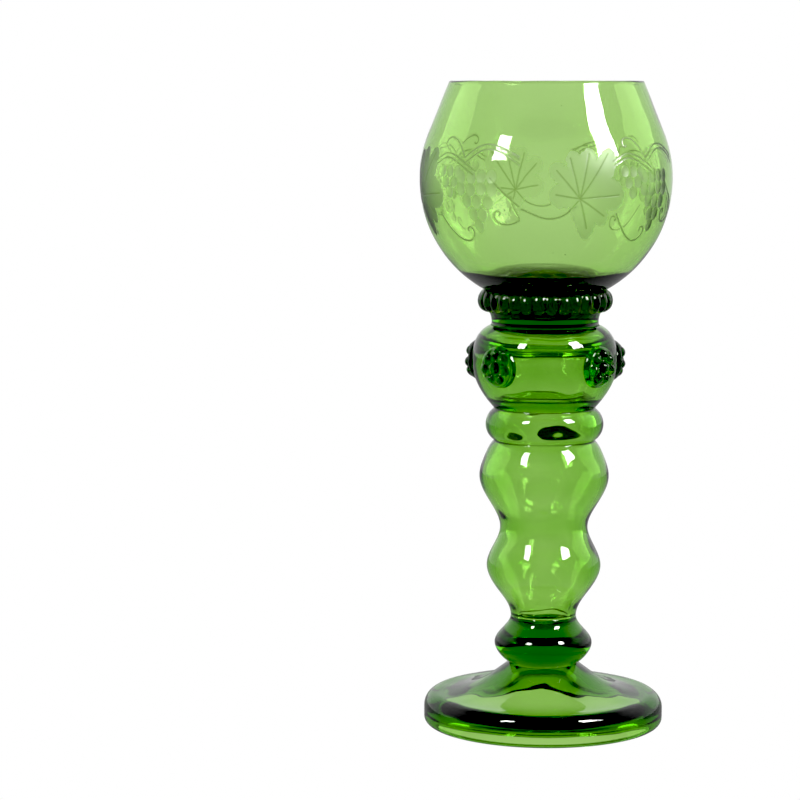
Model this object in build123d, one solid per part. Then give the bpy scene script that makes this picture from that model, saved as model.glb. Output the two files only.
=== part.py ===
from build123d import *
import os
from math import atan2, cos, radians, sin, sqrt

# A roemer: a stemmed wine glass of green forest glass, built hot from seven kinds of gather.
# Lengths are in millimetres. The origin is on the axis at the level the foot stands on, +Z is up.
# A slope is the rise over the run of an outline where it ends, and a wall is the glass round the air inside.

# Heights of the pieces along the axis, stacked from the table upwards
foot_height = 19.3
knop_height = 14.9
stem_height = 90.8
collar_height = 6.0
bowl_height = 69.0

# Foot: a disc with a thick rounded edge that rises to the knop, hollow underneath right up into its cone
foot_diameter = 74.4
foot_edge_thickness = 10.0
foot_top_corner = 4.5
foot_bottom_corner = 2.2
foot_edge_wall = 4.0
foot_roof = 1.0
foot_hollow_corner = 2.4
foot_hollow_corner_height = 5.0
foot_hollow_flank_diameter = 32.0
foot_hollow_flank_height = 10.2
foot_hollow_top_diameter = 16.4
foot_hollow_top_height = 16.0
foot_shoulder_diameter = 36.4
foot_shoulder_rise = 3.8
foot_cone_slope = 0.7

# Knop: a solid ball between the foot and the stem
knop_foot_diameter = 21.2
knop_diameter = 30.2
knop_widest_height = 6.8
knop_foot_slope = 0.6
neck_diameter = 20.4
stem_end_land = 0.8
stem_end_depth = 6.2

# Stem: one hollow bubble with, from below, a small bulge, a waist, a large bulge, a ring and a round bulb.
# Heights here are above the joint with the knop.
lower_flank_diameter = 28.0
lower_flank_height = 7.8
lower_bulge_diameter = 35.5
lower_bulge_height = 16.2
waist_diameter = 27.2
waist_height = 28.0
upper_flank_diameter = 31.6
upper_flank_height = 34.0
upper_bulge_diameter = 40.2
upper_bulge_height = 44.0
upper_shoulder_diameter = 36.8
upper_shoulder_height = 50.2
crease_diameter = 31.0
lower_crease_height = 55.1
lower_crease_slope = 0.9
ring_diameter = 36.5
upper_crease_height = 65.1
upper_crease_slope = 1.1
bulb_flank_diameter = 39.2
bulb_flank_height = 70.4
bulb_diameter = 44.8
bulb_height = 79.3
bulb_shoulder_diameter = 42.6
bulb_shoulder_height = 86.6
bulb_top_diameter = 33.6
bulb_top_slope = 0.3
baluster_wall = 2.4
ring_wall = 3.0
bulb_wall = 3.2
bulb_roof = 3.2
bulb_roof_diameter = 30.0
bulb_roof_dome = 0.8

# Prunts: raspberry-shaped drops pressed on round the bulb, at the angles that the hand left them
prunt_diameter = 13.0
prunt_pad_thickness = 1.3
prunt_pad_crown = 12.0
prunt_bead_diameter = 3.9
prunt_bead_circle = 7.9
prunt_bead_count = 7
prunt_angles = (-113.0, -43.0, 45.0, 104.0)

# Collar: the solid waisted disc that joins the stem to the bowl
collar_base_diameter = 33.4
collar_base_slope = 2.5
collar_waist_diameter = 33.0
collar_waist_height = 1.5
collar_top_diameter = 36.8
collar_top_slope = 1.4

# Trail: a thread of glass laid round the joint of collar and bowl and notched all the way round
trail_stand_out = 2.5
trail_height = 7.6
trail_thickness = 5.9
trail_drop = 1.8
trail_notches = 31
trail_notch_diameter = 2.2
trail_notch_depth = 0.7

# Bowl: a blown round cup with straight sides above its belly and a rounded rim
bowl_diameter = 77.6
bowl_widest_height = 39.0
rim_diameter = 60.0
bowl_wall = 1.7
bowl_floor_thickness = 12.6
bowl_moat_diameter = 40.0
bowl_moat_thickness = 9.6
bowl_moat_edge_angle = 46.0

knop_z = foot_height
stem_z = knop_z + knop_height
collar_z = stem_z + stem_height
bowl_z = collar_z + collar_height
rim_z = bowl_z + bowl_height

OUT = (1, 0, 0)
IN = (-1, 0, 0)
UP = (0, 0, 1)
DOWN = (0, 0, -1)


def at(diameter, height):
    # A point of an outline, in the half plane that is turned about the axis.
    return (diameter / 2, 0, height)


def turned(edges):
    # The solid made by turning a closed outline all the way round the axis.
    return revolve(Face(Wire(edges)), Axis.Z, 360)


def foot():
    side = foot_diameter / 2
    hollow_side = side - foot_edge_wall
    hollow_roof = (0, 0, foot_height - foot_roof)
    hollow_top = at(foot_hollow_top_diameter, foot_hollow_top_height)
    hollow_flank = at(foot_hollow_flank_diameter, foot_hollow_flank_height)
    hollow_corner = (hollow_side - foot_hollow_corner, 0, foot_hollow_corner_height)
    hollow_edge = (hollow_side, 0, 0)
    bottom_edge = (side - foot_bottom_corner, 0, 0)
    side_bottom = (side, 0, foot_bottom_corner)
    side_top = (side, 0, foot_edge_thickness - foot_top_corner)
    top_edge = (side - foot_top_corner, 0, foot_edge_thickness)
    shoulder = at(foot_shoulder_diameter, foot_edge_thickness + foot_shoulder_rise)
    knop_joint = at(knop_foot_diameter, foot_height)
    return turned([
        Line((0, 0, foot_height), hollow_roof),
        Spline(hollow_roof, hollow_top, hollow_flank, hollow_corner, tangents=[OUT, OUT]),
        Spline(hollow_corner, hollow_edge, tangents=[OUT, DOWN]),
        Line(hollow_edge, bottom_edge),
        TangentArc(bottom_edge, side_bottom, tangent=OUT),
        Line(side_bottom, side_top),
        TangentArc(side_top, top_edge, tangent=UP),
        Spline(top_edge, shoulder, knop_joint, tangents=[IN, (-1, 0, foot_cone_slope)]),
        Line(knop_joint, (0, 0, foot_height)),
    ])


def stem_end():
    # The round closed end of the stem, from the axis out to its land; the knop is hollowed to the same line.
    land = at(neck_diameter - 2 * stem_end_land, stem_z)
    return TangentArc((0, 0, stem_z - stem_end_depth), land, tangent=OUT)


def knop():
    foot_joint = at(knop_foot_diameter, knop_z)
    widest = at(knop_diameter, knop_z + knop_widest_height)
    neck = at(neck_diameter, stem_z)
    return turned([
        Line((0, 0, stem_z - stem_end_depth), (0, 0, knop_z)),
        Line((0, 0, knop_z), foot_joint),
        Spline(foot_joint, widest, neck, tangents=[(1, 0, knop_foot_slope), UP, UP]),
        Line(neck, at(neck_diameter - 2 * stem_end_land, stem_z)),
        stem_end(),
    ])


def stem_side(baluster_inset, ring_inset, bulb_inset):
    # The stem's side from the neck up to the bulb's widest level, set in from the surface by the walls given.
    def station(diameter, height, inset):
        return at(diameter - 2 * inset, stem_z + height)
    lower_crease = station(crease_diameter, lower_crease_height, ring_inset)
    ring = station(ring_diameter, (lower_crease_height + upper_crease_height) / 2, ring_inset)
    upper_crease = station(crease_diameter, upper_crease_height, ring_inset)
    baluster = Spline(
        station(neck_diameter, 0, baluster_inset),
        station(lower_flank_diameter, lower_flank_height, baluster_inset),
        station(lower_bulge_diameter, lower_bulge_height, baluster_inset),
        station(waist_diameter, waist_height, baluster_inset),
        station(upper_flank_diameter, upper_flank_height, baluster_inset),
        station(upper_bulge_diameter, upper_bulge_height, baluster_inset),
        station(upper_shoulder_diameter, upper_shoulder_height, baluster_inset),
        lower_crease,
        tangents=[UP, (-1, 0, lower_crease_slope)])
    bulb_side = Spline(
        upper_crease,
        station(bulb_flank_diameter, bulb_flank_height, bulb_inset),
        station(bulb_diameter, bulb_height, bulb_inset),
        tangents=[(1, 0, upper_crease_slope), UP])
    return [baluster, ThreePointArc(lower_crease, ring, upper_crease), bulb_side]


def stem_body():
    # The outside of the stem as if it were solid.
    widest = at(bulb_diameter, stem_z + bulb_height)
    shoulder = at(bulb_shoulder_diameter, stem_z + bulb_shoulder_height)
    top = at(bulb_top_diameter, collar_z)
    return turned([
        Line((0, 0, collar_z), (0, 0, stem_z - stem_end_depth)),
        stem_end(),
        Line(at(neck_diameter - 2 * stem_end_land, stem_z), at(neck_diameter, stem_z)),
        *stem_side(0, 0, 0),
        Spline(widest, shoulder, top, tangents=[UP, (-1, 0, bulb_top_slope)]),
        Line(top, (0, 0, collar_z)),
    ])


def stem():
    # The air inside follows the outside, closed by the bulb's roof above and by the round end below.
    roof = (0, 0, collar_z - bulb_roof)
    roof_edge = at(bulb_roof_diameter, collar_z - bulb_roof - bulb_roof_dome)
    floor = (0, 0, stem_z - stem_end_depth + baluster_wall)
    widest = at(bulb_diameter - 2 * bulb_wall, stem_z + bulb_height)
    air = turned([
        Line(roof, floor),
        Spline(floor, at(neck_diameter - 2 * baluster_wall, stem_z), tangents=[OUT, UP]),
        *stem_side(baluster_wall, ring_wall, bulb_wall),
        Spline(widest, roof_edge, roof, tangents=[UP, IN]),
    ])
    return stem_body() - air


def prunt(angle):
    # A crowned pad with a middle bead and a circle of beads, cut to sit on the bulb.
    level = stem_z + bulb_height
    crown = bulb_diameter / 2 + prunt_pad_thickness
    pad = Cylinder(prunt_diameter / 2, crown, align=(Align.CENTER, Align.CENTER, Align.MIN))
    pad &= Pos(0, 0, crown - prunt_pad_crown) * Sphere(prunt_pad_crown)
    beads = [Pos(0, 0, crown) * Sphere(prunt_bead_diameter / 2)]
    circle_radius = prunt_bead_circle / 2
    circle_fall = prunt_pad_crown - sqrt(prunt_pad_crown ** 2 - circle_radius ** 2)
    for place in PolarLocations(circle_radius, prunt_bead_count):
        beads.append(place * Pos(0, 0, crown - circle_fall) * Sphere(prunt_bead_diameter / 2))
    drop = pad + beads
    return Rot(0, 0, angle) * Pos(0, 0, level) * Rot(90, 0, 0) * drop - stem_body()


def collar():
    base = at(collar_base_diameter, collar_z)
    waist = at(collar_waist_diameter, collar_z + collar_waist_height)
    top = at(collar_top_diameter, bowl_z)
    return turned([
        Line((0, 0, collar_z), base),
        Spline(base, waist, top, tangents=[(-1, 0, collar_base_slope), UP, (1, 0, collar_top_slope)]),
        Line(top, (0, 0, bowl_z)),
        Line((0, 0, bowl_z), (0, 0, collar_z)),
    ])


def bowl_side(radius, belly_z, end_radius, end_z):
    # Where the straight side leaves the round belly, for a line that ends at the rim.
    rise = end_z - belly_z
    reach = end_radius ** 2 + rise ** 2
    run = sqrt(reach - radius ** 2)
    return Vector((end_radius * radius + rise * run) * radius / reach, 0,
                  belly_z + (rise * radius - end_radius * run) * radius / reach)


def bowl():
    belly_z = bowl_z + bowl_widest_height
    outer = bowl_diameter / 2
    inner = outer - bowl_wall
    base = collar_top_diameter / 2
    base_z = belly_z - sqrt(outer ** 2 - base ** 2)
    floor_z = bowl_z + bowl_floor_thickness
    lip = bowl_wall / 2
    lip_z = rim_z - lip
    rim_outside = rim_diameter / 2
    rim_inside = rim_outside - bowl_wall
    outer_tangent = bowl_side(outer, belly_z, rim_outside, lip_z)
    inner_tangent = bowl_side(inner, belly_z, rim_inside, lip_z)
    half_turn = atan2(inner_tangent.Z - belly_z, inner_tangent.X) / 2
    inner_upper = (inner * cos(half_turn), 0, belly_z + inner * sin(half_turn))
    edge_angle = radians(bowl_moat_edge_angle)
    inner_lower = (inner * cos(edge_angle / 2), 0, belly_z - inner * sin(edge_angle / 2))
    moat_edge = (inner * cos(edge_angle), 0, belly_z - inner * sin(edge_angle))
    moat = (bowl_moat_diameter / 2, 0, bowl_z + bowl_moat_thickness)
    down_the_belly = (-sin(edge_angle), 0, -cos(edge_angle))
    return turned([
        Line((0, 0, floor_z), (0, 0, bowl_z)),
        Line((0, 0, bowl_z), (base, 0, bowl_z)),
        Line((base, 0, bowl_z), (base, 0, base_z)),
        ThreePointArc((base, 0, base_z), (outer, 0, belly_z), outer_tangent),
        Line(outer_tangent, (rim_outside, 0, lip_z)),
        ThreePointArc((rim_outside, 0, lip_z), (rim_outside - lip, 0, rim_z), (rim_inside, 0, lip_z)),
        Line((rim_inside, 0, lip_z), inner_tangent),
        ThreePointArc(inner_tangent, inner_upper, (inner, 0, belly_z)),
        ThreePointArc((inner, 0, belly_z), inner_lower, moat_edge),
        Spline(moat_edge, moat, (0, 0, floor_z), tangents=[down_the_belly, IN]),
    ])


def collar_trail():
    # An oval thread round the joint, cut to lie on the collar and the bowl, then notched.
    middle_z = bowl_z + trail_height / 2 - trail_drop
    outside = collar_top_diameter / 2 + trail_stand_out
    oval = Ellipse(trail_thickness / 2, trail_height / 2)
    thread = revolve(Plane.XZ * Pos(outside - trail_thickness / 2, middle_z) * oval, Axis.Z, 360)
    notch = Cylinder(trail_notch_diameter / 2, 2 * trail_height)
    reach = outside + trail_notch_diameter / 2 - trail_notch_depth
    notches = [Pos(0, 0, middle_z) * place * notch for place in PolarLocations(reach, trail_notches)]
    return thread - notches - bowl() - collar()


pieces = {
    "foot": foot(),
    "knop": knop(),
    "stem": stem(),
    "collar": collar(),
    "collar_trail": collar_trail(),
    "bowl": bowl(),
}
for number, angle in enumerate(prunt_angles, start=1):
    pieces[f"prunt_{number}"] = prunt(angle)

os.makedirs("parts", exist_ok=True)
for name, piece in pieces.items():
    export_step(piece, f"parts/{name}.step")
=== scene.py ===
import bmesh
import bpy
import random
import numpy as np
from math import asin, ceil, cos, degrees, pi, radians, sin, sqrt
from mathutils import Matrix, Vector, noise


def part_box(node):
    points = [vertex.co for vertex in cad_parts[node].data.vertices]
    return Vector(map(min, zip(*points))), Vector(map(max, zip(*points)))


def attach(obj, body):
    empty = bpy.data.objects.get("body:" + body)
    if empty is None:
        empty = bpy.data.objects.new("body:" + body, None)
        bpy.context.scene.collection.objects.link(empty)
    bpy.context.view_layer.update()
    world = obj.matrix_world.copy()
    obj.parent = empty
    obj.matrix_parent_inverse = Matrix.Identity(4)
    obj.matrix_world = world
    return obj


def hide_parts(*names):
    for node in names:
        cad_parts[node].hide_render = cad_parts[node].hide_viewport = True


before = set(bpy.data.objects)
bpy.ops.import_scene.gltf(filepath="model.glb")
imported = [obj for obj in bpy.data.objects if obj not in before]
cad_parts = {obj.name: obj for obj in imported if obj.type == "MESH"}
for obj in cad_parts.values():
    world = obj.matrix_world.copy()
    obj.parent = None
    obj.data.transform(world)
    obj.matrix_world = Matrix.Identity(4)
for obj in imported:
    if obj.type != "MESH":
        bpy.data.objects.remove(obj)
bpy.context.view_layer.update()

# Studio
# The glass stands on a white light table in front of white paper. The room above it is dark, so glass that
# looks upwards turns black. Two small soft boxes stand close in front and two large ones behind, at the sides.
camera = bpy.data.objects.new("camera", bpy.data.cameras.new("camera"))
bpy.context.scene.collection.objects.link(camera)
camera.location = (-0.0448, -0.8527, 0.2000)
camera.rotation_euler = (radians(83.4), 0, 0)
camera.data.sensor_width = 36.0
camera.data.lens = 124.6
camera.data.shift_y = 0.00125
camera.data.clip_start = 0.05
camera.data.clip_end = 50.0
bpy.context.scene.camera = camera

scene = bpy.context.scene
scene.view_settings.view_transform = "Standard"
scene.view_settings.look = "None"
scene.view_settings.use_curve_mapping = True
scene.view_settings.curve_mapping.black_level = (0.03, 0.03, 0.03)
scene.cycles.max_bounces = 40
scene.cycles.transmission_bounces = 36
scene.cycles.glossy_bounces = 24
scene.cycles.diffuse_bounces = 3
scene.cycles.transparent_max_bounces = 16
scene.cycles.sample_clamp_indirect = 6.0
scene.cycles.use_denoising = True


def add_node(tree, kind, inputs=None, **settings):
    # Adds a node with its settings, and sets or links each of its inputs.
    made = tree.nodes.new(kind)
    for name, value in settings.items():
        setattr(made, name, value)
    for name, value in (inputs or {}).items():
        if isinstance(value, bpy.types.NodeSocket):
            tree.links.new(value, made.inputs[name])
        else:
            made.inputs[name].default_value = value
    return made


def linear(code):
    # An sRGB hex colour as the linear colour that a socket takes.
    parts = [int(code[i:i + 2], 16) / 255 for i in (0, 2, 4)]
    return tuple(p / 12.92 if p <= 0.04045 else ((p + 0.055) / 1.055) ** 2.4 for p in parts) + (1.0,)


paper_white = linear("ffffff")
room_dark = linear("0c0d0c")
paper_top = 0.62
room_start = 0.90
mirrored_room = 0.3


def mirrored_light(tree, forward, near_side, far_side, far_light):
    # Full light, but the skin of the glass mirrors a dim room on the near side and lighter paper on the far side.
    paper = add_node(tree, "ShaderNodeMapRange", {"Value": forward, "From Min": near_side, "From Max": far_side,
                                                  "To Min": mirrored_room, "To Max": far_light},
                     interpolation_type="SMOOTHSTEP")
    mirrored = add_node(tree, "ShaderNodeLightPath").outputs["Is Reflection Ray"]
    return add_node(tree, "ShaderNodeMix", {0: mirrored, 2: 1.0, 3: paper.outputs["Result"]}).outputs[0]


world = bpy.data.worlds.new("white_paper_and_dark_room")
world.use_nodes = True
scene.world = world
sky = world.node_tree
sky.nodes.clear()
direction = add_node(sky, "ShaderNodeTexCoord")
parts = add_node(sky, "ShaderNodeSeparateXYZ", {"Vector": direction.outputs["Generated"]})
rise = add_node(sky, "ShaderNodeMapRange", {"Value": parts.outputs["Z"], "From Min": paper_top,
                                            "From Max": room_start}, interpolation_type="SMOOTHSTEP")
surround = add_node(sky, "ShaderNodeMix", {0: rise.outputs["Result"], 6: paper_white, 7: room_dark},
                    data_type="RGBA")
light = add_node(sky, "ShaderNodeBackground", {"Color": surround.outputs[2],
                                               "Strength": mirrored_light(sky, parts.outputs["Y"], -0.3, 0.5, 0.85)})
add_node(sky, "ShaderNodeOutputWorld", {"Surface": light.outputs["Background"]})

table_radius = 2.0
table_mesh = bpy.data.meshes.new("light_table")
table_mesh.from_pydata([(table_radius * cos(2 * pi * i / 64), table_radius * sin(2 * pi * i / 64), 0)
                        for i in range(64)], [], [range(64)])
table = bpy.data.objects.new("light_table", table_mesh)
scene.collection.objects.link(table)
opal = bpy.data.materials.new("opal_acrylic_lit_from_below")
opal.use_nodes = True
opal.node_tree.nodes.clear()
spot = add_node(opal.node_tree, "ShaderNodeTexCoord").outputs["Object"]
spot = add_node(opal.node_tree, "ShaderNodeSeparateXYZ", {"Vector": spot})
glow = add_node(opal.node_tree, "ShaderNodeEmission",
                {"Color": paper_white, "Strength": mirrored_light(opal.node_tree, spot.outputs["Y"], -0.05, 0.15, 0.4)})
add_node(opal.node_tree, "ShaderNodeOutputMaterial", {"Surface": glow.outputs["Emission"]})
table_mesh.materials.append(opal)


def soft_box(name, azimuth, distance, low, high, width, brightness):
    # An upright flat lamp that faces the axis of the glass, from one height to another. Azimuth 0 is the side of
    # the camera, 90 is to its right. The brightness is how many times white the lamp is.
    lamp = bpy.data.lights.new(name, "AREA")
    lamp.shape = "RECTANGLE"
    lamp.size = width
    lamp.size_y = high - low
    lamp.energy = brightness * pi * width * (high - low)
    holder = bpy.data.objects.new(name, lamp)
    scene.collection.objects.link(holder)
    away = Vector((sin(radians(azimuth)), -cos(radians(azimuth)), 0))
    holder.location = away * distance + Vector((0, 0, (low + high) / 2))
    holder.rotation_euler = away.to_track_quat("Z", "Y").to_euler()
    return holder


soft_box("left_soft_box", -44, 0.27, 0.245, 0.375, 0.065, 30)
soft_box("right_soft_box", 54, 0.27, 0.245, 0.41, 0.095, 34)
for name, azimuth in (("left_back_soft_box", -112), ("right_back_soft_box", 110)):
    # Too far round to be mirrored in the skin: it only lights the glass from within.
    soft_box(name, azimuth, 0.9, 0.05, 0.85, 0.6, 4).visible_glossy = False

# Foot
# A thick gather pressed out to a disc while hot, with a rounded edge, a hollow underneath and a cone in the
# middle that the knop is joined to. Green forest glass, fire polished, so it is clear and a little uneven.
MM = 0.001
STEP = 0.55
OUT = (1, 0)
IN = (-1, 0)
UP = (0, 1)
DOWN = (0, -1)
joint_overlap = 0.03
# A fixed start for the slow noise, because without one each run would make a slightly different glass.
noise.seed_set(1)


def levels(node):
    # The lowest and highest level of a node, in millimetres.
    low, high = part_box(node)
    return low.z / MM, high.z / MM


def flow(points, start, end):
    # A smooth line through points of an outline, (radius, height), that starts and ends in given directions.
    p = np.array(points, float)
    gap = np.linalg.norm(np.diff(p, axis=0), axis=1)
    last = len(p) - 1
    system = np.eye(last + 1)
    pull = np.zeros((last + 1, 2))
    pull[0] = np.array(start) / np.linalg.norm(start)
    pull[last] = np.array(end) / np.linalg.norm(end)
    for i in range(1, last):
        a, b = gap[i - 1], gap[i]
        system[i, i - 1:i + 2] = b, 2 * (a + b), a
        pull[i] = 3 * (b * (p[i] - p[i - 1]) / a + a * (p[i + 1] - p[i]) / b)
    slope = np.linalg.solve(system, pull)
    line = []
    for i in range(last):
        t = np.linspace(0, 1, max(3, ceil(gap[i] / STEP)), endpoint=False)[:, None]
        line.append((1 + 2 * t) * (1 - t) ** 2 * p[i] + t * (1 - t) ** 2 * gap[i] * slope[i]
                    + t * t * (3 - 2 * t) * p[i + 1] + t * t * (t - 1) * gap[i] * slope[i + 1])
    return np.vstack(line + [p[-1:]])


def arc(centre, radius, start, end):
    # A round stretch of an outline, between two angles in degrees.
    steps = max(4, ceil(abs(radians(end - start)) * radius / STEP))
    angles = np.radians(np.linspace(start, end, steps + 1))
    return np.column_stack([centre[0] + radius * np.cos(angles), centre[1] + radius * np.sin(angles)])


def straight(start, end):
    # A straight stretch of an outline.
    steps = max(2, ceil(sqrt((end[0] - start[0]) ** 2 + (end[1] - start[1]) ** 2) / STEP))
    return np.linspace(start, end, steps + 1)


def joined(*stretches):
    # One outline from stretches that meet end to end. A stretch given as ("joint", line) is a fused joint: its
    # points get the distance in from the joint's edge, and all others the distance out from it, below 0.
    points, inside = [], []
    for stretch in stretches:
        fused = isinstance(stretch, tuple)
        line = np.array(stretch[1] if fused else stretch, float)
        start = 1 if points else 0
        points.extend(line[start:])
        inside.extend([fused] * (len(line) - start))
    points = np.array(points)
    travel = np.concatenate([[0], np.cumsum(np.linalg.norm(np.diff(points, axis=0), axis=1))])
    edges = []
    first = 0
    for stretch in stretches:
        fused = isinstance(stretch, tuple)
        count = len(stretch[1] if fused else stretch) - 1
        for end in (first, first + count):
            if fused and points[end][0] > 0.01:
                edges.append(travel[end])
        first += count
    depth = np.full(len(points), -1.0)
    if edges:
        depth = np.min(np.abs(travel[:, None] - np.array(edges)), axis=1)
        depth = np.where(inside, depth, -depth)
        depth[np.abs(depth) < 1e-9] = 0
    return points, depth


def wrapped(rows, looped=False):
    # Places and faces of a surface from rows of places that go round. A row of one place closes an end, and a
    # looped surface joins its last row to its first.
    starts = np.cumsum([0] + [len(row) for row in rows])
    numbered = [range(start, start + len(row)) for start, row in zip(starts, rows)]
    faces = []
    for low, high in zip(numbered, numbered[1:] + (numbered[:1] if looped else [])):
        around = max(len(low), len(high))
        for i in range(around):
            j = (i + 1) % around
            corners = [low[i % len(low)], low[j % len(low)], high[j % len(high)], high[i % len(high)]]
            faces.append([c for n, c in enumerate(corners) if c not in corners[:n]])
    return np.vstack(rows), faces


def turned(outline, around):
    # The surface made by turning an outline about the axis: places, faces and the joint depth of each place.
    points, depth = outline
    angles = np.linspace(0, 2 * pi, around, endpoint=False)
    rows, marks = [], []
    for (radius, height), mark in zip(points, depth):
        ring = angles if radius > 1e-6 else angles[:1]
        rows.append(np.column_stack([radius * np.cos(ring), radius * np.sin(ring), np.full(len(ring), height)]))
        marks.extend([mark] * len(ring))
    return *wrapped(rows), np.array(marks)


def uneven(places, size=9, amount=0.10, seed=1):
    # Moves places, in millimetres, by slow noise, as hot glass settles. Nothing moves at the table. Pieces that
    # are fused together share the same noise, so that they still meet.
    shift = Vector((seed, seed * 2, seed * 3))
    moved = [Vector(p) + noise.noise_vector(Vector(p) / size + shift) * amount * min(1, p[2] / 4)
             for p in places]
    return np.array([tuple(m) for m in moved])


def to_mesh(name, shells):
    # One mesh from closed shells, in metres.
    places, faces, marks = [], [], []
    for shell_places, shell_faces, shell_marks in shells:
        start = len(places)
        places.extend(shell_places)
        marks.extend(shell_marks)
        faces.extend([[c + start for c in f] for f in shell_faces])
    mesh = bpy.data.meshes.new(name)
    mesh.from_pydata([tuple(p * MM for p in place) for place in places], [], faces)
    mesh.attributes.new("fused", "FLOAT", "POINT").data.foreach_set("value", np.array(marks, np.float32))
    return mesh


def make_piece(mesh, material, nodes):
    # One object that stands for its CAD nodes and rides with them.
    mesh.polygons.foreach_set("use_smooth", [True] * len(mesh.polygons))
    mesh.materials.append(material)
    made = bpy.data.objects.new(mesh.name, mesh)
    scene.collection.objects.link(made)
    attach(made, "root")
    if nodes:
        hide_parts(*nodes)
    return made


def forest_glass(name, ripple_mm, ripple_depth, matt=0.0, depth=520.0, ior=1.52):
    # Clear green glass with iron in it. The colour is in its depth: thin walls are light yellow green and
    # thick ones go nearly black. Fire polishing leaves it mirror smooth with slow ripples.
    # Light lost in each metre: red 310, green 150, blue 520. Blue is lost fastest, so it sets the density.
    made = bpy.data.materials.new(name)
    made.use_nodes = True
    tree = made.node_tree
    tree.nodes.clear()
    place = add_node(tree, "ShaderNodeTexCoord").outputs["Object"]
    ripples = add_node(tree, "ShaderNodeTexNoise",
                       {"Vector": place, "Scale": 1 / (ripple_mm * MM), "Detail": 2.0, "Roughness": 0.4})
    bump = add_node(tree, "ShaderNodeBump", {"Height": ripples.outputs["Fac"], "Strength": 1.0,
                                             "Distance": ripple_depth * MM})
    polish = add_node(tree, "ShaderNodeTexNoise", {"Vector": place, "Scale": 1 / (6 * MM), "Detail": 3.0})
    rough = add_node(tree, "ShaderNodeMapRange", {"Value": polish.outputs["Fac"], "From Min": 0.35,
                                                  "From Max": 0.75, "To Min": 0.0, "To Max": 0.015})
    shine = rough.outputs["Result"]
    tint = (1, 1, 1, 1)
    if matt:
        grain = add_node(tree, "ShaderNodeTexNoise", {"Vector": place, "Scale": 1 / (0.5 * MM), "Detail": 2.0})
        frost = add_node(tree, "ShaderNodeMapRange", {"Value": grain.outputs["Fac"], "From Min": 0.3,
                                                      "From Max": 0.7, "To Min": matt * 0.8, "To Max": matt * 1.2})
        cut = add_node(tree, "ShaderNodeAttribute", attribute_name="matt")
        shine = add_node(tree, "ShaderNodeMath", {0: cut.outputs["Fac"], 1: frost.outputs["Result"], 2: shine},
                         operation="MULTIPLY_ADD").outputs[0]
        # Painted shade: the matt ground of the cuts is coloured pale where it faces the viewer and dark olive where it
        # is seen aslant, so the frost goes dark towards the edges of the bowl.
        slant = add_node(tree, "ShaderNodeLayerWeight", {"Blend": 0.5}).outputs["Facing"]
        matt_ground_with_painted_edge_shade = add_node(tree, "ShaderNodeMix", {0: slant, 6: linear("eef0e6"), 7: linear("323d1f")},
                          data_type="RGBA").outputs[2]
        matt_ground_with_painted_edge_shade = add_node(tree, "ShaderNodeMix", {0: cut.outputs["Fac"], 6: (1, 1, 1, 1), 7: matt_ground_with_painted_edge_shade},
                          data_type="RGBA").outputs[2]
        # Painted shade: the narrow grooves of veins, vines and tendrils are coloured a darker olive grey, as shade in a
        # cut.
        groove = add_node(tree, "ShaderNodeAttribute", attribute_name="groove").outputs["Fac"]
        tint = add_node(tree, "ShaderNodeMix", {0: groove, 6: matt_ground_with_painted_edge_shade, 7: linear("8b9565")},
                        data_type="RGBA").outputs[2]
    fused = add_node(tree, "ShaderNodeAttribute", attribute_name="fused")
    skin = add_node(tree, "ShaderNodeMath", {0: fused.outputs["Fac"], 1: 0.0}, operation="LESS_THAN")
    bend = add_node(tree, "ShaderNodeMath", {0: skin.outputs[0], 1: ior - 1.0, 2: 1.0},
                    operation="MULTIPLY_ADD")
    surface = add_node(tree, "ShaderNodeBsdfPrincipled",
                       {"Base Color": tint, "Roughness": shine,
                        "IOR": bend.outputs[0], "Transmission Weight": 1.0, "Normal": bump.outputs["Normal"]})
    body = add_node(tree, "ShaderNodeVolumeAbsorption", {"Color": (0.404, 0.7115, 0.0, 1), "Density": depth})
    add_node(tree, "ShaderNodeOutputMaterial", {"Surface": surface.outputs["BSDF"],
                                                "Volume": body.outputs["Volume"]})
    return made


foot_glass = forest_glass("pressed_forest_glass", 5, 0.02, depth=440.0)
foot_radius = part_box("foot")[1].x / MM
foot_wall = 4.0
foot_corner = 2.2
hollow_edge = foot_radius - foot_wall
knop_z = levels("foot")[1]
foot_outline = joined(
    flow([(0, 18.3), (4.5, 17.9), (8.2, 16.0), (11.4, 13.2), (16, 10.2), (24, 7.0), (hollow_edge - 2.4, 5.0)],
         OUT, OUT),
    flow([(hollow_edge - 2.4, 5.0), (hollow_edge - 0.6, 3.6), (hollow_edge, 0)], OUT, DOWN),
    straight((hollow_edge, 0), (foot_radius - foot_corner, 0)),
    arc((foot_radius - foot_corner, foot_corner), foot_corner, -90, 0),
    straight((foot_radius, foot_corner), (foot_radius, 5.5)),
    arc((foot_radius - 4.5, 5.5), 4.5, 0, 90),
    flow([(foot_radius - 4.5, 10), (18.2, 13.8), (10.6 - joint_overlap, knop_z + joint_overlap)], IN, (-1, 0.7)),
    ("joint", straight((10.6 - joint_overlap, knop_z + joint_overlap), (0, knop_z + joint_overlap))),
)
places, faces, marks = turned(foot_outline, 256)
make_piece(to_mesh("foot_disc", [(uneven(places), faces, marks)]), foot_glass, ["foot"])

# Knop
# A solid ball of the same glass between foot and stem. It is thick, so it looks nearly black.
knop_glass = forest_glass("solid_forest_glass", 4, 0.01, depth=250.0)
stem_z = levels("knop")[1]
stem_end_depth = 6.2
land_radius = 9.4
end_radius = (land_radius ** 2 + stem_end_depth ** 2) / (2 * stem_end_depth)
end_angle = degrees(asin(land_radius / end_radius))


def stem_end(lift):
    # The round end of the stem that the knop is closed over, from the axis out to its land.
    return arc((0, stem_z - stem_end_depth + end_radius + lift), end_radius, -90, -90 + end_angle)


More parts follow.
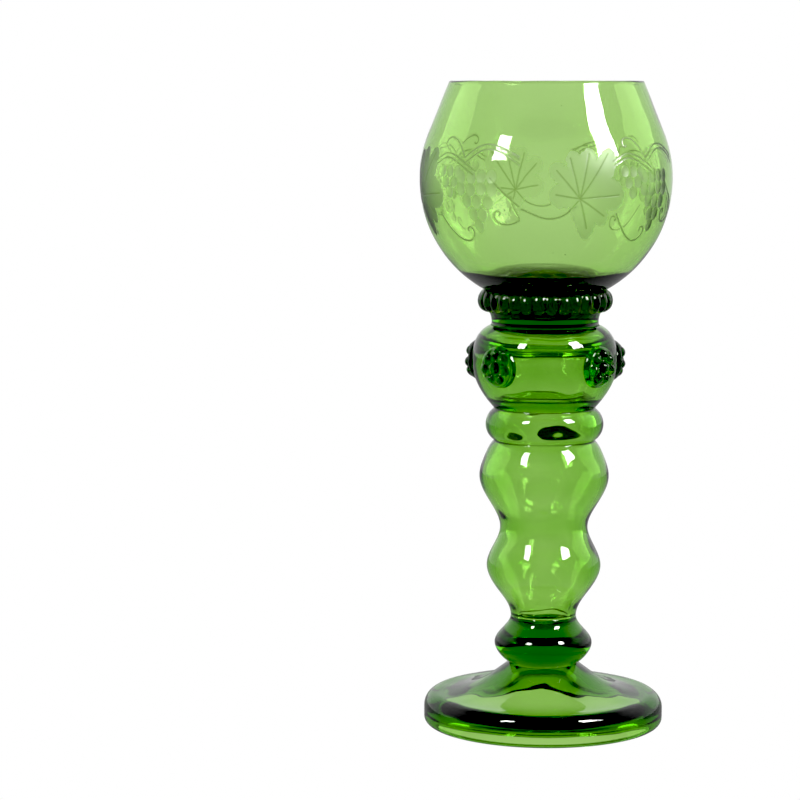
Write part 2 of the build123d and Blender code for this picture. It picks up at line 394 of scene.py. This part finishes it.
end_line = stem_end(joint_overlap)
knop_outline = joined(
    ("joint", straight((0, knop_z - joint_overlap), (10.6, knop_z - joint_overlap))),
    flow([(10.6, knop_z - joint_overlap), (15.1, knop_z + 6.8), (10.2, stem_z + joint_overlap)], (1, 0.6), UP),
    ("joint", np.vstack([straight((10.2, stem_z + joint_overlap), tuple(end_line[-1])), end_line[-2::-1]])),
)
places, faces, marks = turned(knop_outline, 160)
make_piece(to_mesh("knop_ball", [(uneven(places), faces, marks)]), knop_glass, ["knop"])

# Stem
# One blown bubble, necked in while hot into two bulges, a ring and a round bulb, and closed at both ends.
# The walls are thick at the creases and uneven inside, which draws dark and bright lines.
stem_glass = forest_glass("blown_forest_glass", 4, 0.012)
collar_z = levels("stem")[1]
baluster_wall = 2.4
ring_wall = 3.0
bulb_wall = 3.2
# Inside the bulb a ridge of glass runs round under the roof, and a lip stands over the upper crease: points by
# radius and by depth below the roof, or height above the knop.
bulb_ridge = [(18.9, 8.2), (16.9, 6.6), (18.1, 5.0), (16.8, 2.7), (13.5, 1.6), (0, 1.2)]
bulb_lip = [(12.1, 68.4), (12.8, 70.0), (14.6, 68.8), (17.1, 71.0)]


def stem_side(baluster_inset, ring_inset, bulb_inset):
    # The side from the neck up to the bulb's widest level, set in from the surface by the walls given.
    stations = [(10.2, 0), (14.0, 7.8), (17.75, 16.2), (13.6, 28.0), (15.8, 34.0), (20.1, 44.0), (18.4, 50.2)]
    creases = [(15.5 - ring_inset, stem_z + 55.1), (15.5 - ring_inset, stem_z + 65.1)]
    ring_middle = (18.25 - ring_inset, stem_z + 60.1)
    baluster = flow([(r - baluster_inset, stem_z + z) for r, z in stations] + creases[:1], UP, (-1, 0.9))
    half = (creases[1][1] - creases[0][1]) / 2
    swell = ring_middle[0] - creases[0][0]
    ring_radius = (half ** 2 + swell ** 2) / (2 * swell)
    ring_angle = degrees(asin(half / ring_radius))
    ring = arc((ring_middle[0] - ring_radius, ring_middle[1]), ring_radius, -ring_angle, ring_angle)
    bulb = flow([creases[1], (19.6 - bulb_inset, stem_z + 70.4), (22.4 - bulb_inset, stem_z + 79.3)],
                (1, 1.1), UP)
    if bulb_inset:
        lip = [(r, stem_z + z) for r, z in bulb_lip]
        bulb = flow([creases[1]] + lip + [(22.4 - bulb_inset, stem_z + 79.3)], UP, UP)
    return [baluster, ring, bulb]


bulb_top = flow([(22.4, stem_z + 79.3), (21.3, stem_z + 86.6), (16.8 - joint_overlap, collar_z + joint_overlap)],
                UP, (-1, 0.3))
outer = joined(
    ("joint", np.vstack([stem_end(0), straight((land_radius, stem_z - joint_overlap), (10.2, stem_z - joint_overlap))])),
    *stem_side(0, 0, 0),
    bulb_top,
    ("joint", straight((16.8 - joint_overlap, collar_z + joint_overlap), (0, collar_z + joint_overlap))),
)
floor_z = stem_z - stem_end_depth + baluster_wall
cavity = joined(
    flow([(0, floor_z), (10.2 - baluster_wall, stem_z)], OUT, UP),
    *stem_side(baluster_wall, ring_wall, bulb_wall),
    flow([(22.4 - bulb_wall, stem_z + 79.3)] + [(r, collar_z - below) for r, below in bulb_ridge], UP, IN),
)
outer_places, outer_faces, outer_marks = turned(outer, 200)
inner_places, inner_faces, inner_marks = turned((cavity[0][::-1], cavity[1][::-1]), 180)
stem_mesh = to_mesh("hollow_stem", [(uneven(outer_places), outer_faces, outer_marks),
                                    (uneven(inner_places, 7, 0.22, 5), inner_faces, inner_marks)])
make_piece(stem_mesh, stem_glass, ["stem"])

# Prunts
# Four drops of hot glass laid on the bulb and pressed with a raspberry stamp: a middle bead, a ring of beads
# and a rounded edge of glass that the stamp pushed out. They are thick, and their glass is also made more than
# twice as dense as the stem's, which paints in shade, so they look nearly black.
# Painted shade: the density is more than twice the stem's, to darken the prunts as shade would.
prunt_glass = forest_glass("stamped_glass_denser_for_painted_shade", 3, 0.01, depth=1150.0)
prunt_radius = 6.5
pad_thickness = 1.25
pad_crown = 0.45
middle_bead = 2.1
ring_bead = 1.85
ring_reach = 3.95
ring_beads = 7
rim_bead = 0.85
bulb_skin = outer[0][np.argmax(outer[0][:, 1] > stem_z + 60):]
bulb_skin = bulb_skin[bulb_skin[:, 0] > 14]


def stamped_height(reach, turn, seed):
    # The height of a prunt above the bulb, for places given by their distance and turn from its middle.
    chance = random.Random(seed)
    share = np.clip(reach / prunt_radius, 0, 1)
    heights = [pad_thickness * np.sqrt(1 - share ** 5) + pad_crown * (1 - share ** 2)]
    start = chance.uniform(0, 2 * pi)
    beads = [(0, 0, middle_bead)]
    for number in range(ring_beads):
        angle = start + 2 * pi * number / ring_beads + chance.uniform(-0.06, 0.06)
        spread = ring_reach * chance.uniform(0.96, 1.04)
        beads.append((spread * cos(angle), spread * sin(angle), ring_bead * chance.uniform(0.9, 1.06)))
    across, up = reach * np.cos(turn), reach * np.sin(turn)
    for bead_across, bead_up, bead_radius in beads:
        gap = (across - bead_across) ** 2 + (up - bead_up) ** 2
        lift = pad_thickness * 0.9
        heights.append(np.where(gap < bead_radius ** 2, lift + np.sqrt(np.maximum(bead_radius ** 2 - gap, 0)), 0))
    off_rim = np.abs(reach - prunt_radius + rim_bead)
    heights.append(pad_thickness * 0.7 + np.sqrt(np.maximum(rim_bead ** 2 - off_rim ** 2, 0)))
    softness = 0.12
    stack = np.array(heights) / softness
    peak = stack.max(axis=0)
    blended = softness * (peak + np.log(np.exp(stack - peak).sum(axis=0)))
    return blended * np.sqrt(1 - share ** 12)


def stamped_prunt(name, seed):
    # A closed drop: its back follows the bulb's skin, its front is stamped.
    low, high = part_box(name)
    middle = (low + high) / 2 / MM
    facing = np.arctan2(middle.x, -middle.y)
    away = np.array([sin(facing), -cos(facing), 0])
    along = np.array([cos(facing), sin(facing), 0])
    turn = np.linspace(0, 2 * pi, 132, endpoint=False)
    back, front = [], []
    for t in np.linspace(0, 1, 46):
        reach = prunt_radius * sin(t * pi / 2)
        ring = turn if t > 0 else turn[:1]
        across, up = reach * np.cos(ring), reach * np.sin(ring)
        skin = np.interp(middle.z + up, bulb_skin[:, 1], bulb_skin[:, 0]) - joint_overlap
        base = np.sqrt(skin ** 2 - across ** 2)
        top = base + stamped_height(np.full(len(ring), reach), ring, seed)
        level = np.column_stack([0 * up, 0 * up, middle.z + up])
        back.append(level + base[:, None] * away + across[:, None] * along)
        front.append(level + top[:, None] * away + across[:, None] * along)
    places, faces = wrapped(back[:-1] + front[::-1])
    return to_mesh("stamped_" + name, [(uneven(places), faces, np.full(len(places), -1.0))])


for number in range(1, 5):
    name = f"prunt_{number}"
    make_piece(stamped_prunt(name, number), prunt_glass, [name])

# Collar
# A short solid waist of hot glass that joins the stem's closed top to the bowl.
collar_glass = forest_glass("gathered_forest_glass", 4, 0.012, depth=240.0)
bowl_z = levels("collar")[1]
collar_side = flow([(16.7, collar_z - joint_overlap), (16.5, collar_z + 1.5), (18.4, bowl_z + joint_overlap)],
                   (-1, 2.5), (1, 1.4))
collar_outline = joined(
    ("joint", straight((0, collar_z - joint_overlap), (16.7, collar_z - joint_overlap))),
    collar_side,
    ("joint", straight((18.4, bowl_z + joint_overlap), (0, bowl_z + joint_overlap))),
)
places, faces, marks = turned(collar_outline, 200)
make_piece(to_mesh("waisted_collar", [(uneven(places), faces, marks)]), collar_glass, ["collar"])

# Bowl
# Blown thin and round with straight sides to the rim, which is melted round again after cutting. A band of
# vine leaves, grapes and tendrils is cut into the outside with small wheels and left matt.
# The colour of the cuts carries painted shade: darker in the narrow grooves and where the frost is seen aslant.
bowl_glass = forest_glass("thin_blown_forest_glass", 9, 0.02, matt=0.42, depth=450.0)
rim_z = levels("bowl")[1]
bowl_wall = 1.7
belly_z = bowl_z + 39.0
belly_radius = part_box("bowl")[1].x / MM
rim_radius = 30.0
lip = bowl_wall / 2


def tangent_angle(radius, end_radius):
    # The angle on the belly, in degrees, where the straight side to the lip leaves it.
    rise = rim_z - lip - belly_z
    reach = sqrt(end_radius ** 2 + rise ** 2)
    return degrees(np.arctan2(rise, end_radius) - np.arccos(radius / reach))


outer_leave = tangent_angle(belly_radius, rim_radius)
inner_radius = belly_radius - bowl_wall
inner_leave = tangent_angle(inner_radius, rim_radius - bowl_wall)
base_angle = -degrees(np.arccos(18.4 / belly_radius))
outer_belly = arc((0, belly_z), belly_radius, base_angle, outer_leave)
inner_belly = arc((0, belly_z), inner_radius, inner_leave, 0)
bowl_outline = joined(
    ("joint", np.vstack([straight((0, bowl_z - joint_overlap), (18.37, bowl_z - joint_overlap))])),
    straight((18.37, bowl_z - joint_overlap), tuple(outer_belly[0])),
    outer_belly,
    straight(tuple(outer_belly[-1]), (rim_radius, rim_z - lip)),
    arc((rim_radius - lip, rim_z - lip), lip, 0, 180),
    straight((rim_radius - bowl_wall, rim_z - lip), tuple(inner_belly[0])),
    inner_belly,
    arc((0, belly_z), inner_radius, 0, -46),
    flow([(inner_radius * cos(radians(46)), belly_z - inner_radius * sin(radians(46))), (20.0, bowl_z + 9.6),
          (15.5, bowl_z + 11.0), (0, bowl_z + 12.6)], (-sin(radians(46)), -cos(radians(46))), IN),
)
places, faces, marks = turned(bowl_outline, 288)
bowl_mesh = to_mesh("engraved_bowl", [(places, faces, marks)])
bowl_skin = np.vstack([straight((18.37, bowl_z), tuple(outer_belly[0])), outer_belly[1:], (rim_radius, rim_z - lip)])

# The vine has a leaf, a bunch of grapes and a small bunch in each quarter turn. Places on it are across and up,
# in millimetres, from the point where the leaf's veins meet.
vine_level = 165.4
vine_quarter = belly_radius * pi / 2
vine_start = 8.2
leaf_outline = [(3.0, 15.0), (4.9, 13.8), (5.6, 11.4), (8.3, 14.4), (10.6, 14.6), (11.9, 12.2), (11.2, 8.8),
                (10.2, 6.2), (13.2, 4.4), (14.9, 1.2), (14.0, -2.0), (11.4, -3.4), (8.8, -3.2), (9.6, -6.2),
                (7.9, -8.2), (5.6, -7.0), (4.6, -10.6), (2.6, -12.2), (0.6, -10.4), (-1.9, -5.4), (-3.0, -2.4),
                (-6.6, -2.6), (-9.0, -0.4), (-8.9, 2.6), (-6.4, 4.4), (-9.0, 7.0), (-8.8, 10.0), (-6.2, 10.8),
                (-3.4, 8.8), (-4.2, 12.2), (-2.2, 14.2), (0.2, 13.0)]
leaf_veins = [(3.0, 13.2), (9.4, 13.2), (12.9, 1.0), (8.2, -5.2), (2.8, -8.8), (-7.2, 1.2), (-7.0, 8.4),
              (-2.9, 12.0)]
bunches = [(28.8, 6.4, 3.7, (4, 4, 3, 2, 1)), (18.4, 8.0, 3.2, (3, 2, 1))]
vines = [[(-17.5, -3.0), (-9.7, -5.8), (-4.0, -4.4), (-0.4, -0.6)],
         [(11.0, 11.0), (16.0, 13.2), (22.5, 11.5), (28.6, 8.0)],
         [(11.4, 9.8), (16.4, 11.9), (22.0, 10.2), (27.6, 7.0)],
         [(24.0, 12.0), (30.0, 15.6), (37.0, 15.0), (45.0, 10.0), (52.0, 5.5)],
         [(25.0, 10.8), (30.5, 14.2), (37.0, 13.6), (44.5, 8.7), (52.0, 3.9)],
         [(43.5, -3.0), (38.0, 1.5), (33.5, 6.0)]]
tendrils = [((12.6, -4.6), 9.0, -60, 3.4, 1.0), ((36.5, 14.6), 7.0, -10, 2.8, -1.0), ((24.2, 12.0), 6.0, 120, 2.6, 1.0),
            ((40.0, 0.5), 8.5, -75, 3.0, 1.0), ((45.0, 10.0), 6.5, 60, 2.4, -1.0), ((46.0, -4.0), 7.0, -140, 2.6, -1.0)]
stroke = 0.24


def segment_gap(points, start, end):
    # The distance from each point to one straight line between two ends.
    line = np.subtract(end, start)
    share = np.clip(((points - start) @ line) / (line @ line), 0, 1)
    return np.linalg.norm(points - start - share[:, None] * line, axis=1)


def stroke_gap(points, line, reach=3.0):
    # The distance from each point to a line of several runs. Points further than the reach count as that far.
    gap = np.full(len(points), reach)
    low, high = np.min(line, axis=0) - reach, np.max(line, axis=0) + reach
    close = ((points > low) & (points < high)).all(axis=1)
    for a, b in zip(line[:-1], line[1:]):
        gap[close] = np.minimum(gap[close], segment_gap(points[close], a, b))
    return gap


def toothed(corners):
    # An outline with small teeth along its edges, as a vine leaf has.
    edge = []
    for a, b in zip(np.array(corners), np.roll(corners, -1, axis=0)):
        length = np.linalg.norm(b - a)
        out = np.array([a[1] - b[1], b[0] - a[0]]) / length
        teeth = max(1, round(length / 2.2))
        for i in range(teeth):
            edge.append(a + (b - a) * i / teeth)
            edge.append(a + (b - a) * (i + 0.62) / teeth + out * 0.38)
    return np.array(edge)


def leaf_gap(points, edge):
    # The distance to the leaf's edge, below 0 inside it.
    gap = stroke_gap(points, np.vstack([edge, edge[:1]]))
    inside = np.zeros(len(points), bool)
    for a, b in zip(edge, np.roll(edge, -1, axis=0)):
        crosses = (a[1] > points[:, 1]) != (b[1] > points[:, 1])
        along = (b[0] - a[0]) * (points[:, 1] - a[1]) / (b[1] - a[1] + 1e-12) + a[0]
        inside ^= crosses & (points[:, 0] < along)
    return np.where(inside, -gap, gap)


def curl(start, length, heading, radius, turn):
    # A tendril: a short run that winds up in a tightening curl.
    line = [np.array(start)]
    angle = radians(heading)
    for step in range(44):
        share = step / 44
        line.append(line[-1] + 0.028 * length * np.array([cos(angle), sin(angle)]) * (3.2 - 2.4 * share))
        angle += turn * 0.028 * length / radius * (0.4 + 5.2 * share ** 2)
    return np.array(line)


def engraved(places):
    # How far each place is from the edge of a cut, below 0 inside, how deep the cut is there, and how far the
    # nearest narrow groove is. Only the outside of the bowl is cut.
    near, depth, groove = np.full(len(places), 9.0), np.zeros(len(places)), np.full(len(places), 9.0)
    outside = on_bowl_skin(places)
    near[outside], depth[outside], groove[outside] = vine_cuts(places[outside])
    return near, depth, groove


def vine_cuts(places):
    # The cuts of one quarter of the vine, for places on the outside of the bowl.
    across = belly_radius * np.arctan2(places[:, 0], -places[:, 1]) - vine_start
    across = (across + 0.3 * vine_quarter) % vine_quarter - 0.3 * vine_quarter
    points = np.column_stack([across, places[:, 2] - vine_level])
    points = np.vstack([points, points - [vine_quarter, 0]])
    edge = toothed(leaf_outline)
    leaf = leaf_gap(points, edge)
    veins = np.min([segment_gap(points, (0, 0), v) for v in leaf_veins], axis=0)
    near = leaf
    groove = np.where(leaf < 0, veins, 9.0)
    depth = 0.08 * np.clip(-near / 0.5, 0, 1) + 0.12 * np.clip(1 - groove / 0.32, 0, 1)
    chance = random.Random(7)
    for across, up, step, rows in bunches:
        for row, count in enumerate(rows):
            for number in range(count):
                centre = (across + (number - (count - 1) / 2) * step + chance.uniform(-0.3, 0.3),
                          up - row * step + chance.uniform(-0.3, 0.3))
                half = (step * 0.46, step * 0.58)
                share = np.linalg.norm((points - centre) / half, axis=1)
                grape = (share - 1) * min(half)
                near = np.minimum(near, grape)
                depth = np.maximum(depth, 0.24 * np.clip(1 - share ** 2, 0, 1))
    strokes = [flow(v, np.subtract(v[1], v[0]), np.subtract(v[-1], v[-2])) for v in vines]
    strokes += [curl(*t) for t in tendrils]
    for line in strokes:
        gap = stroke_gap(points, line)
        near = np.minimum(near, gap - stroke)
        groove = np.minimum(groove, gap)
        depth = np.maximum(depth, 0.12 * np.clip(1 - gap / stroke, 0, 1))
    half = len(near) // 2
    return (np.minimum(near[:half], near[half:]), np.maximum(depth[:half], depth[half:]),
            np.minimum(groove[:half], groove[half:]))


def on_bowl_skin(places):
    # True for places on the outside of the bowl, at the levels that the vine reaches.
    radius = np.linalg.norm(places[:, :2], axis=1)
    skin = np.interp(places[:, 2], bowl_skin[:, 1], bowl_skin[:, 0])
    return (radius > skin - 0.6) & (places[:, 2] > vine_level - 14) & (places[:, 2] < vine_level + 20)


def mesh_places(mesh):
    # The places of a mesh, in millimetres.
    flat = np.empty(len(mesh.vertices) * 3)
    mesh.vertices.foreach_get("co", flat)
    return flat.reshape(-1, 3) / MM


near, depth, groove = engraved(places)
close = on_bowl_skin(places) & (np.minimum(np.abs(near), groove) < 0.62)
cutting = bmesh.new()
cutting.from_mesh(bowl_mesh)
edges = {edge for vertex in cutting.verts if close[vertex.index] for face in vertex.link_faces for edge in face.edges}
bmesh.ops.subdivide_edges(cutting, edges=list(edges), cuts=2, use_grid_fill=True)
cutting.to_mesh(bowl_mesh)
cutting.free()
places = mesh_places(bowl_mesh)
near, depth, groove = engraved(places)
outside = on_bowl_skin(places)
radius = np.linalg.norm(places[:, :2], axis=1)
skin = np.interp(places[:, 2], bowl_skin[:, 1], bowl_skin[:, 0])
scale = np.where(outside, (skin - depth) / np.maximum(radius, 1), 1)
places[:, 0] *= scale
places[:, 1] *= scale
bowl_mesh.vertices.foreach_set("co", (uneven(places) * MM).ravel())
matt = np.where(outside, np.clip(0.5 - near / 0.3, 0, 1), 0)
bowl_mesh.attributes.new("matt", "FLOAT", "POINT").data.foreach_set("value", matt.astype(np.float32))
# Painted shade in the narrow grooves, strongest along their middle.
groove_painted_shade = np.where(outside, np.clip(1.2 - groove / 0.3, 0, 1), 0)
bowl_mesh.attributes.new("groove", "FLOAT", "POINT").data.foreach_set("value", groove_painted_shade.astype(np.float32))
make_piece(bowl_mesh, bowl_glass, ["bowl"])

# Trail
# A thread of hot glass laid round the joint of collar and bowl, then nipped all the way round with a notched
# tool, which leaves a row of round lobes.
# Painted shade: the density is well above the stem's, to darken the trail as shade would.
trail_glass = forest_glass("nipped_glass_denser_for_painted_shade", 3, 0.01, depth=760.0)
trail_lobes = 31
trail_low, trail_high = levels("collar_trail")
trail_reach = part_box("collar_trail")[1].x / MM
trail_root = 17.4
skin_radius = np.vstack([collar_side[:-1], bowl_skin])


def skin_at(height):
    # The radius of the collar and the bowl at a height.
    return np.interp(height, skin_radius[:, 1], skin_radius[:, 0])


def trail_section(turn, swell, size):
    # The front of the thread for turns from below (-90 degrees) to above. The tool bites deepest below.
    bite = (1 - swell) * (0.25 + 0.75 * (0.5 - 0.5 * np.sin(turn)))
    reach = (trail_reach - trail_root) * (1 - 0.55 * bite) * (0.985 + 0.015 * size)
    half = (trail_high - trail_low) / 2 * np.where(turn < 0, 0.78 + 0.21 * swell, 0.95 + 0.03 * swell)
    middle = (trail_low + trail_high) / 2 + 0.08 * size
    return trail_root + reach * np.cos(turn) ** 0.8, middle + half * np.sin(turn)


chance = random.Random(3)
lobe_sizes = [chance.uniform(-1, 1) for _ in range(trail_lobes)]
sections = []
for number in range(trail_lobes * 16):
    phase = number / 16
    swell = abs(sin(pi * phase)) ** 0.6
    uneven_lobe = lobe_sizes[int(phase) % trail_lobes] * swell
    t = np.linspace(-pi / 2, pi / 2, 181)
    r, z = trail_section(t, swell, uneven_lobe)
    clear = np.nonzero(r > skin_at(z))[0]
    t = np.linspace(t[clear[0]], t[clear[-1]], 17)
    r, z = trail_section(t, swell, uneven_lobe)
    back = np.linspace(z[-1], z[0], 11)
    r = np.concatenate([r, skin_at(back) - joint_overlap])
    z = np.concatenate([z, back])
    angle = 2 * pi * phase / trail_lobes
    sections.append(np.column_stack([r * cos(angle), r * sin(angle), z]))
places, faces = wrapped(list(np.array(sections).transpose(1, 0, 2)), looped=True)
trail_mesh = to_mesh("nipped_trail", [(uneven(places), faces, np.full(len(places), -1.0))])
make_piece(trail_mesh, trail_glass, ["collar_trail"])

# Specks
# Grains of ash and stone that fell into the pot and were gathered up with the glass. They lie in its walls.
grit = bpy.data.materials.new("burnt_ash_and_stone")
grit.use_nodes = True
grit_tree = grit.node_tree
grit_tree.nodes.clear()
place = add_node(grit_tree, "ShaderNodeTexCoord").outputs["Object"]
patches = add_node(grit_tree, "ShaderNodeTexNoise", {"Vector": place, "Scale": 1 / (0.2 * MM), "Detail": 2.0})
burnt = add_node(grit_tree, "ShaderNodeMix", {0: patches.outputs["Fac"], 6: linear("0b0d07"), 7: linear("2c2a18")},
                 data_type="RGBA")
crust = add_node(grit_tree, "ShaderNodeBsdfPrincipled", {"Base Color": burnt.outputs[2], "Roughness": 0.8})
add_node(grit_tree, "ShaderNodeOutputMaterial", {"Surface": crust.outputs["BSDF"]})

# The largest ones that show in the bowl, by turn from the front in degrees, height and radius
bowl_specks = [(10.5, 163.0, 0.30), (5.0, 192.6, 0.16), (1.0, 149.4, 0.14), (7.6, 148.9, 0.18), (-22.0, 162.0, 0.14)]
chance = random.Random(11)
for number in range(44):
    bowl_specks.append((chance.uniform(-180, 180), chance.uniform(150, 197), chance.uniform(0.05, 0.11)))
specks = [(np.interp(height, bowl_skin[:, 1], bowl_skin[:, 0]) - bowl_wall / 2, turn, height, size)
          for turn, height, size in bowl_specks]
foot_top = foot_outline[0][np.argmax(foot_outline[0][:, 0]):][::-1]
for number in range(70):
    out = 12 + 20 * chance.random() ** 1.6
    level = np.interp(out, foot_top[:, 0], foot_top[:, 1]) - chance.uniform(0.5, 1.2)
    specks.append((out, chance.uniform(-180, 180), level, chance.uniform(0.06, 0.14)))
grains = bmesh.new()
for out, turn, height, size in specks:
    angle = radians(turn)
    grain = bmesh.ops.create_icosphere(grains, subdivisions=1, radius=size * MM)["verts"]
    for vertex in grain:
        vertex.co = vertex.co * chance.uniform(0.7, 1.2) + Vector((out * sin(angle), -out * cos(angle), height)) * MM
speck_mesh = bpy.data.meshes.new("specks_of_ash")
grains.to_mesh(speck_mesh)
grains.free()
make_piece(speck_mesh, grit, [])
